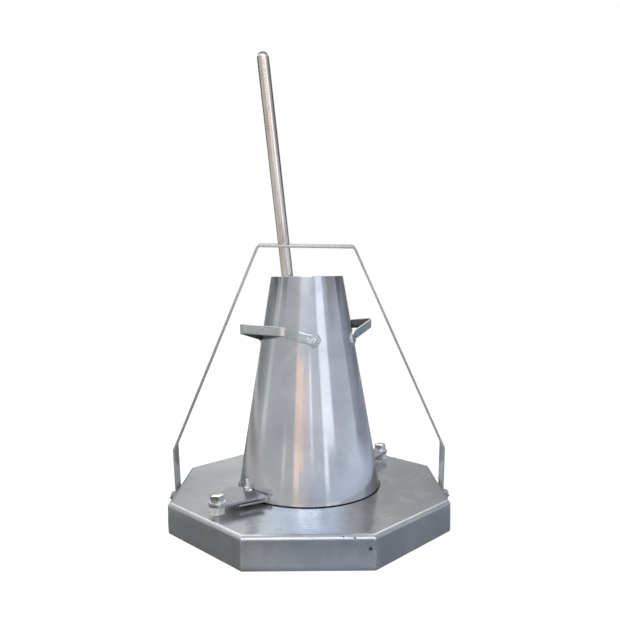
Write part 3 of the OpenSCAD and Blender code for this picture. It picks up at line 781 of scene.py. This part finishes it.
def overrun_bead():
    """A short bead that ran over onto the long flange, straight across its end."""
    radius, half_length = 2.2, 5.2
    middle = LONG_FLANGE_L / 2 - ROUND_R + radius
    t = np.linspace(-1, 1, 40)[:, None]
    b = np.linspace(0, TURN, 14, endpoint=False)[None]
    r = radius * ripple(t[:, 0] * 6, 3.1, 0.3, 1.4)[:, None] * np.sqrt(np.maximum(1 - t ** 2, 0.02))
    height = HANDLE_T - 0.3 + 0.7 * r * np.sin(b)
    return closed_grid(on_flange(1, middle + r * np.cos(b), half_length * t + 0 * b, height))


def mark_inner_faces(piece, turn):
    """Attribute "inner", which carries the painted shade: 1 on the faces of a handle's loop that look at the
    cone, from the distance outwards of each point from the middle line of its leg."""
    x, y, _ = rotated(vertex_places(piece.data) / MM, -turn).T
    leg = FOLD_XY - [HANDLE_REACH, 0]
    outwards = np.array([leg[1], -leg[0]]) / np.linalg.norm(leg)
    off = (x - HANDLE_REACH) * outwards[0] + np.abs(y) * outwards[1]
    inner = np.clip(-0.4 - off, 0, 0.6) / 0.6 * (x > FOLD_XY[0] + 1)
    attribute = piece.data.attributes.new("inner", "FLOAT", "POINT")
    attribute.data.foreach_set("value", inner.astype(np.float32))


strip_points, strip_faces = handle_strip()
end_beads = [end_bead(-1, 0.0), end_bead(1, 0.9), overrun_bead()]
end_weld_parts = []
for word, turn in HANDLE_AZ.items():
    strip = surface_piece("handle_strip_" + word, [(rotated(strip_points, turn), strip_faces)],
                          handle_enamel, "cone", ("handle_" + word,))
    mark_inner_faces(strip, turn)
    end_weld_parts += [(rotated(points, turn), faces) for points, faces in end_beads]
surface_piece("handle_end_welds", end_weld_parts, weld_enamel, "cone", ("handle_welds",))


# Foot tabs and clamps


def tab_weld_parts():
    """The fillet bead along the top of each foot tab's root, round the cone."""
    end_gap, off, radius = 1.5, 0.5, 1.7
    half = math.asin((TAB_ROOT - end_gap) / cone_radius(0))
    parts = []
    for k, turn in enumerate((CLAMP_AZ, CLAMP_AZ + 180)):
        a = math.radians(turn) + np.linspace(-half, half, 90)
        path = polar(cone_radius(TAB_TOP) + off, a, TRAY_H + TAB_TOP + off)
        parts.append(bead(path, polar(1, a, 1), radius, pitch=2.6, depth=0.2, phase=k * 1.1))
    return parts


surface_piece("foot_tab_fillet_welds", tab_weld_parts(), weld_enamel, "cone", ("foot_tab_welds",))


def threaded_rod(diameter, pitch, length, chamfer=0.7, plain=0.0):
    """A rod along +Z with a helical thread: the radius falls and rises once each pitch, and once round. A
    pitch has nine rows."""
    shank = np.linspace(0.05, length - 0.05, int(length / pitch * 9))
    z = np.concatenate([[0, 0.001], shank, [length - 0.001, length]])
    angle = np.linspace(0, TURN, 40, endpoint=False)
    wave = np.abs(((z[:, None] / pitch - angle[None] / TURN) % 1) * 2 - 1)
    depth = 0.6 * pitch * np.clip(wave * 1.3 - 0.15, 0, 1) * (z >= plain)[:, None]
    taper = np.clip(np.maximum(chamfer - np.minimum(z, length - z), 0), 0, None)[:, None] * 0.8
    r = np.minimum(diameter / 2 - depth, diameter / 2 - taper)
    return closed_grid(polar(r, angle, z[:, None]))


def hex_block(across_flats, height, edge=0.35, crown=0.58):
    """A hexagonal head on z = 0: the hexagon's radius, held inside a cone of the crown's slope that takes
    its top corners off."""
    angle = np.linspace(0, TURN, 96, endpoint=False)
    hexagon = across_flats / 2 / np.cos((angle + TURN / 12) % (TURN / 6) - TURN / 12)
    corner = across_flats / 2 / math.cos(math.pi / 6)
    lower, upper = np.linspace(0.15, height - 2, 4), np.linspace(height - 1.9, height - 0.1, 14)
    z = np.concatenate([[0], lower, upper, [height]])
    crown_r = corner - np.clip(z - (height - (corner - across_flats / 2) * crown), 0, None) / crown
    foot_r = corner - np.clip(edge - z, 0, None)
    limit = np.minimum(crown_r, foot_r)[:, None]
    r = np.minimum(hexagon[None] - np.clip(edge * 0.5 - (height - z), 0, None)[:, None], limit)
    r = np.vstack([r, r[-1:] * 0.85])
    return closed_grid(polar(r, angle, np.append(z, height)[:, None]))


for word in ("left", "right"):
    clamp, screw = "clamp_" + word, "screw_" + word
    eased_copy("foot_tab_" + word, strip_enamel, "cone", 0.5)
    eased_copy("clamp_plate_" + word, plate_enamel, clamp, 0.5)
    for node, edge in (("pivot_bolt_", 0.3), ("flat_washer_", 0.3), ("spring_washer_", 0.25)):
        unmirrored(eased_copy(node + word, zinc, clamp, edge))
    unmirrored(eased_copy("lock_nut_" + word, zinc, screw, 0.25))
    low, high = node_box_mm("clamp_screw_" + word)
    centre = (low + high) / 2
    thread = moved(threaded_rod(SCREW_D, SCREW_PITCH, high[2] - low[2]), [centre[0], centre[1], low[2]])
    unmirrored(surface_piece("clamp_screw_thread_" + word, [thread], zinc, screw,
                             ("clamp_screw_" + word,), flat_angle=50))
unmirrored(eased_copy("spacer_nuts", zinc_plate("dulled_zinc_plate", metallic=0.3), "base", 0.3))


# Bail

END_ROWS = 11


def bail_lean():
    """The strap's lean, from its lowest and highest corners: its round end is concentric with the pivot.
    Each try works out the length from the last guess, and a better guess from that length."""
    low, high = node_box_mm("bail_strap")
    top, front = high[2] - BAIL_PIVOT_Z, low[1]
    guess = math.radians(10)
    for _ in range(20):
        length = (top - BAIL_W / 2 * math.sin(guess)) / math.cos(guess) - BAIL_T / 2
        guess = math.asin((-front - BAIL_W / 2 * math.cos(guess)) / (length + BAIL_T / 2))
    return guess


def bail_height(lean):
    """Length from the pivots to the middle of the grip bar, from the strap's highest corner."""
    top = node_box_mm("bail_strap")[1][2] - BAIL_PIVOT_Z
    return (top - BAIL_W / 2 * math.sin(lean)) / math.cos(lean) - BAIL_T / 2


def bail_surface():
    """The flat bar bent along its path, with its ends rounded about the pivots, leaned forward. Its grip bar
    is bent a little out of level, as the real one is, and the bar has a slow wave of a quarter of a
    millimetre."""
    lean = bail_lean()
    length = bail_height(lean)
    round_r = BAIL_W / 2
    corners = [[-BAIL_MID_X, 0], [-BAIL_MID_X, BAIL_LEG], [-BAIL_GRIP / 2, length - BAIL_LOW[0]],
               [BAIL_GRIP / 2, length - BAIL_LOW[1]], [BAIL_MID_X, BAIL_LEG], [BAIL_MID_X, 0]]
    path = rounded_path(corners, BAIL_BEND_R, arc=10, step=14)
    drop = -round_r * np.sin(np.linspace(math.pi / 2, 0, END_ROWS + 1)[:-1])
    path = np.vstack([np.stack([np.full(END_ROWS, -BAIL_MID_X), drop], axis=1), path,
                      np.stack([np.full(END_ROWS, BAIL_MID_X), drop[::-1]], axis=1)])
    narrow = np.sqrt(np.clip(1 - (np.minimum(path[:, 1], 0) / round_r) ** 2, 0.002, 1))
    forward, _ = along(path)
    forward[:END_ROWS], forward[-END_ROWS:] = [0, 1], [0, -1]
    wave = 0.25 * np.sin(path[:, 0] / 37 + path[:, 1] / 61)
    flat = np.stack([path[:, 0], wave, path[:, 1]], axis=1)
    across = np.tile([0.0, 1.0, 0.0], (len(path), 1))
    through = np.stack([forward[:, 1], np.zeros(len(path)), -forward[:, 0]], axis=1)
    points, faces = swept(flat, across, through, bar_section(BAIL_W, BAIL_T, edge=0.6), narrow)
    return rotated(points, math.degrees(lean), "x") + [0, 0, BAIL_PIVOT_Z], faces


unmirrored(surface_piece("bail_bar", [bail_surface()], strip_enamel, "bail", ("bail_strap",),
                         flat_angle=40))


def bail_bolt_parts():
    """Each bolt's threaded shank and its head inside the skirt, made upright, then laid along X and turned
    to its side."""
    inner_face = TRAY_W / 2 - TRAY_T
    shank = threaded_rod(BAIL_BOLT_D, BAIL_BOLT_PITCH, BAIL_BOLT_TIP - inner_face, chamfer=0.9, plain=7)
    head_points, head_faces = hex_block(BAIL_AF, BAIL_HEAD_H)
    parts = []
    for side in (0, 180):
        for part in (shank, (head_points * [1, 1, -1], head_faces)):
            points, faces = moved(part, [0, 0, inner_face])
            parts.append((rotated(rotated(points, 90, "y") + [0, 0, BAIL_PIVOT_Z], side), faces))
    return parts


surface_piece("bail_pivot_bolts", bail_bolt_parts(), zinc, "base", ("bail_bolts",), flat_angle=35)
for node in ("bail_inner_washers", "bail_outer_washers", "bail_nuts"):
    eased_copy(node, zinc, "base", 0.25)


# Tamping rod


def rod_ends():
    """Middles of the rod's two round ends, from the CAD rod's box: it leans to the left and forwards."""
    low, high = node_box_mm("tamping_rod")
    r = ROD_D / 2
    return np.array([high[0] - r, high[1] - r, low[2] + r]), np.array([low[0] + r, low[1] + r, high[2] - r])


def rod_surface():
    """A round bar with half-round ends, turned about Z and then laid between its two end middles."""
    foot, top = rod_ends()
    length, r = np.linalg.norm(top - foot), ROD_D / 2
    bend = np.linspace(0, math.pi / 2, 18)
    profile = np.vstack([np.stack([r * np.sin(bend), -r * np.cos(bend)], axis=1)[:-1],
                         np.stack([np.full(60, r), np.linspace(0, length, 60)], axis=1),
                         np.stack([r * np.cos(bend), length + r * np.sin(bend)], axis=1)[1:]])
    points, faces = revolved(profile[1:-1], 64, closed=False)
    forward = (top - foot) / length
    side = np.cross([0, 1, 0], forward)
    side /= np.linalg.norm(side)
    back = np.cross(forward, side)
    return points @ np.stack([side, back, forward]) + foot, faces, forward


rod_points, rod_faces, rod_forward = rod_surface()
lean_y = math.asin(rod_forward[0])
lean_x = math.atan2(-rod_forward[1], rod_forward[2])
rod_steel = drawn_steel("bright_drawn_steel", (-lean_x, -lean_y, 0.0), rod_points[:, 2].max())
surface_piece("tamping_rod_bar", [(rod_points, rod_faces)], rod_steel, "rod", ("tamping_rod",))


# Studio

WHITE = (1, 1, 1, 1)
# The room's radius and height, and the radius of the hole in its ceiling, in metres
ROOM_R, ROOM_H, HOLE_R = 3.5, 4.0, 0.1
# The walls that the gloss mirrors: azimuth in degrees, 0 towards the camera and + to its right, level, tint
WALLS = [(-180, 0.75, "#FFFFFF"), (-150, 0.26, "#F4F6F6"), (-122, 0.32, "#F2F6F6"), (-100, 0.55, "#F2F7F7"),
         (-84, 0.66, "#F4F8F8"), (-52, 0.66, "#F6F8FA"), (-28, 0.72, "#FAF9FA"), (-8, 0.92, "#F6F7FF"),
         (20, 0.98, "#EEF3FF"), (47, 0.92, "#EAEEFF"), (64, 0.72, "#E4E8FF"), (90, 0.64, "#E2E8FF"),
         (116, 0.42, "#E4EAFF"), (134, 0.22, "#E6EAFF"), (152, 0.20, "#ECEFFF"), (180, 0.75, "#FFFFFF")]
# Lit things on the walls: from and to in azimuth, from and to in height in metres, level, tint
LIT = [(-24, -9, 0.22, 0.95, 1.45, "#FFE0D0"),
       (-23, -16, -0.1, 0.3, 1.45, "#FFE6DA"),
       (-9, 1, 0.3, 0.8, 1.08, "#FFF0EE"),
       (4, 7, 0.3, 0.9, 1.6, "#FFF8F8"),
       (-20, 3, 0.95, 2.2, 1.02, "#F4F8FF"),
       (27, 47, 0.3, 2.3, 1.75, "#F6F8FF"),
       (27, 32, -0.1, 0.3, 1.9, "#F6F8FF"),
       (-44, -40, -0.1, 0.3, 0.95, "#FFFFFF"),
       (50, 98, -0.1, 0.9, 0.88, "#E6EEFB"),
       (-97, -86, -0.1, 0.9, 0.85, "#F4FAF8"),
       (-146, -100, 0.9, 2.2, 0.14, "#FFFFFF"),
       (-100, -62, 1.15, 2.2, 0.35, "#FFFFFF"),
       (62, 100, 1.15, 2.2, 0.4, "#FFFFFF"),
       (100, 146, 0.9, 2.2, 0.10, "#FFFFFF"),
       (-85, -81, 0.9, 2.0, 1.0, "#F4FAFA"),
       (-17, 17, 1.8, 2.28, 11.5, "#FAFCFF"),
       (-180, -150, 3.65, 4.2, 1.6, "#FAFCFF"),
       (150, 180, 3.65, 4.2, 1.6, "#FAFCFF")]
# Light of the roof on each side of the room, linear and brighter than white
ROOF_RIGHT, ROOF_LEFT = (1.1, 1.1, 1.1, 1), (2.3, 2.35, 2.4, 1)
ROOF_AHEAD, ROOF_BEHIND = (1.75, 2.05, 2.4, 1), (2.6, 2.6, 2.6, 1)


def bright(tint, level):
    """A colour times a level."""
    return (*[c * level for c in colour(tint)[:3]], 1)


def level_square(half, z):
    """A level square about the Z axis, in metres."""
    corners = [(-half, -half, z), (half, -half, z), (half, half, z), (-half, half, z)]
    return np.array(corners), [(0, 1, 2, 3)]


def stage_object(name, points, faces, material):
    """An object of the studio."""
    mesh = bpy.data.meshes.new(name)
    mesh.from_pydata(points.tolist(), [], faces)
    mesh.materials.append(material)
    made = bpy.data.objects.new(name, mesh)
    bpy.context.scene.collection.objects.link(made)
    return made


def background_rays(tree):
    """1 for the rays that see the plain white background: those of the camera, of gloss and of glass."""
    rays = add(tree, "LightPath").outputs
    seen = add(tree, "Math", [rays["Is Camera Ray"], rays["Is Glossy Ray"]], operation="MAXIMUM")
    return add(tree, "Math", [seen, rays["Is Transmission Ray"]], operation="MAXIMUM")


def floor_material():
    """White floor: its own white to the camera and in gloss and glass, part lit, so that a shadow stays."""
    material, tree, _ = new_material("white_floor")
    own_share = add(tree, "Math", [background_rays(tree), 0.8], operation="MULTIPLY")
    lit = add(tree, "BsdfDiffuse", {"Color": (0.9, 0.9, 0.9, 1)})
    own = add(tree, "Emission", {"Color": WHITE, "Strength": 1.15})
    add(tree, "OutputMaterial", {"Surface": add(tree, "MixShader", [own_share, lit, own])})
    return material


def wall_colours(tree, azimuth, height):
    """The walls' colours round the room, with the lit things on them."""
    ramp = add(tree, "ValToRGB", [add(tree, "MapRange", [azimuth, -math.pi, math.pi])])
    stops = ramp.color_ramp.elements
    while len(stops) < len(WALLS):
        stops.new(0.5)
    for stop, (degrees, level, tint) in zip(stops, WALLS):
        stop.position = degrees / 360 + 0.5
        stop.color = bright(tint, level)
    lit = ramp
    for az_from, az_to, z_from, z_to, level, tint in LIT:
        inside = within(tree, azimuth, math.radians(az_from), math.radians(az_to), math.radians(1.2))
        both = add(tree, "Math", [inside, within(tree, height, z_from, z_to, 0.08)], operation="MULTIPLY")
        lit = add(tree, "Mix", [both, lit, bright(tint, level)], data_type="RGBA")
    return lit


def wall_level(tree, where, from_front):
    """The walls' level: at the sides their lower part gets darker with height, and at the back their upper
    part is brighter on the left."""
    side = add(tree, "MapRange", [from_front, math.radians(60), math.radians(100)])
    fall = add(tree, "MapRange", [where["Z"], 0.1, 1.2, 1.2, 0.7])
    back = add(tree, "MapRange", [from_front, math.radians(158), math.radians(168)])
    left = add(tree, "MapRange", [where["X"], -0.7, 0.6, 1.25, 0.7])
    upper = add(tree, "MapRange", [where["Z"], 0.55, 0.95])
    low, high = add(tree, "Mix", [side, 1.0, fall]), add(tree, "Mix", [back, 1.0, left])
    return add(tree, "Mix", [upper, low, high])


def roof_colour(tree, where, from_front):
    """The roof lights, by the side of the room that they are on."""
    left = add(tree, "MapRange", [where["X"], -2.2, -0.6, 1, 0])
    ahead = add(tree, "MapRange", [from_front, math.radians(40), math.radians(75), 1, 0])
    behind = add(tree, "MapRange", [from_front, math.radians(130), math.radians(150)])
    light = ROOF_RIGHT
    for share, side_light in ((left, ROOF_LEFT), (ahead, ROOF_AHEAD), (behind, ROOF_BEHIND)):
        light = add(tree, "Mix", [share, light, side_light], data_type="RGBA")
    return light


def room_material():
    """A workshop seen in the gloss: a tall window to the front right, a warm lit doorway to the front left,
    a long lamp high in front, thin strips of light beside them, dim ends, and a band of roof lights that is
    dimmest to the right."""
    material, tree, place = new_material("studio_room")
    where = add(tree, "SeparateXYZ", [place]).outputs
    ahead = add(tree, "Math", [where["Y"], -1.0], operation="MULTIPLY")
    azimuth = add(tree, "Math", [where["X"], ahead], operation="ARCTAN2")
    from_front = add(tree, "Math", [azimuth], operation="ABSOLUTE")
    roof = add(tree, "Math", [add(tree, "MapRange", [where["Z"], 2.3, 2.4]),
                              add(tree, "MapRange", [where["Z"], 3.5, 3.6, 1, 0])], operation="MULTIPLY")
    walls = wall_colours(tree, azimuth, where["Z"])
    glow = add(tree, "Mix", [roof, walls, roof_colour(tree, where, from_front)], data_type="RGBA")
    level = add(tree, "Mix", [roof, wall_level(tree, where, from_front), 1.0])
    add(tree, "OutputMaterial", {"Surface": add(tree, "Emission", {"Color": glow, "Strength": level})})
    return material


def ground_material():
    """The floor as the gloss sees it: a dim ground, paler in front close to the tray, at the sides and far
    to the right, where it darkens towards the back. Each share has its own level, laid over those before."""
    material, tree, where = new_material("studio_ground")
    apart = add(tree, "SeparateXYZ", [where]).outputs
    out = add(tree, "VectorMath", [where], operation="LENGTH")
    near = add(tree, "MapRange", [out, 0.19, 0.29, 1, 0])
    in_front = add(tree, "MapRange", [apart["Y"], -0.2, -0.185, 1, 0])
    close = add(tree, "Math", [near, in_front], operation="MULTIPLY")
    aside = add(tree, "Math", [apart["X"]], operation="ABSOLUTE")
    beside = add(tree, "MapRange", [aside, 0.24, 0.5])
    beside_level = add(tree, "MapRange", [apart["X"], -0.2, 0.2, 0.62, 0.75])
    far = add(tree, "MapRange", [out, 0.5, 1.1])
    far_level = add(tree, "MapRange", [apart["Y"], -0.4, 0.4, 0.8, 0.3])
    very_far = add(tree, "MapRange", [out, 1.3, 1.8])
    far_right = add(tree, "MapRange", [apart["X"], 0.3, 0.9])
    right_level = add(tree, "MapRange", [apart["Y"], 0.1, 0.5, 1.16, 0.45])
    right = add(tree, "MapRange", [apart["X"], -0.12, 0.02])
    level = add(tree, "MapRange", [right, 0, 1, 0.14, 0.3])
    for share, own_level in ((close, 0.52), (beside, beside_level), (far, far_level), (very_far, 0.58),
                             (far_right, right_level)):
        level = add(tree, "Mix", [share, level, own_level])
    tint = layered(tree, "#FFFDFA", [(right, "#DDE7FB")])
    add(tree, "OutputMaterial", {"Surface": add(tree, "Emission", {"Color": tint, "Strength": level})})
    return material


def studio():
    """The white floor, the room and the ground that only the gloss sees, and a white world."""
    stage_object("floor", *level_square(8, 0), floor_material())
    ground = stage_object("studio_ground", *level_square(4, 0.0003), ground_material())
    profile = [(ROOM_R, 0), (ROOM_R, ROOM_H / 2), (ROOM_R, ROOM_H), (HOLE_R, ROOM_H)]
    walls = revolved(profile, 96, closed=False)
    room = stage_object("studio_room", *walls, room_material())
    for card in (room, ground):
        for kind in ("camera", "diffuse", "shadow", "transmission", "volume_scatter"):
            setattr(card, "visible_" + kind, False)

    world = bpy.data.worlds.new("white_world")
    bpy.context.scene.world = world
    world.use_nodes = True
    tree = world.node_tree
    tree.nodes.clear()
    level = add(tree, "MapRange", [background_rays(tree), 0, 1, 0.5, 1.0])
    add(tree, "OutputWorld", {"Surface": add(tree, "Background", {"Color": WHITE, "Strength": level})})


def area_lamp(name, place, target, size, watts):
    """A rectangular softbox that looks at a target and shows in no gloss."""
    data = bpy.data.lights.new(name, "AREA")
    data.shape, data.size, data.size_y = "RECTANGLE", *size
    data.energy = watts
    lamp = bpy.data.objects.new(name, data)
    bpy.context.scene.collection.objects.link(lamp)
    lamp.rotation_euler = (Vector(target) - Vector(place)).to_track_quat("-Z", "Y").to_euler()
    lamp.location = place
    lamp.visible_glossy = False


studio()
area_lamp("top_softbox", place=(-0.5, -0.6, 2.4), target=(0, 0, 0.1), size=(1.8, 1.8), watts=26)
area_lamp("left_softbox", place=(-2.0, -1.4, 1.5), target=(0, 0, 0.2), size=(1.2, 1.6), watts=16)
area_lamp("right_softbox", place=(1.8, -2.2, 1.4), target=(0, 0, 0.2), size=(0.5, 1.8), watts=10)

bpy.context.scene.view_settings.view_transform = "Standard"
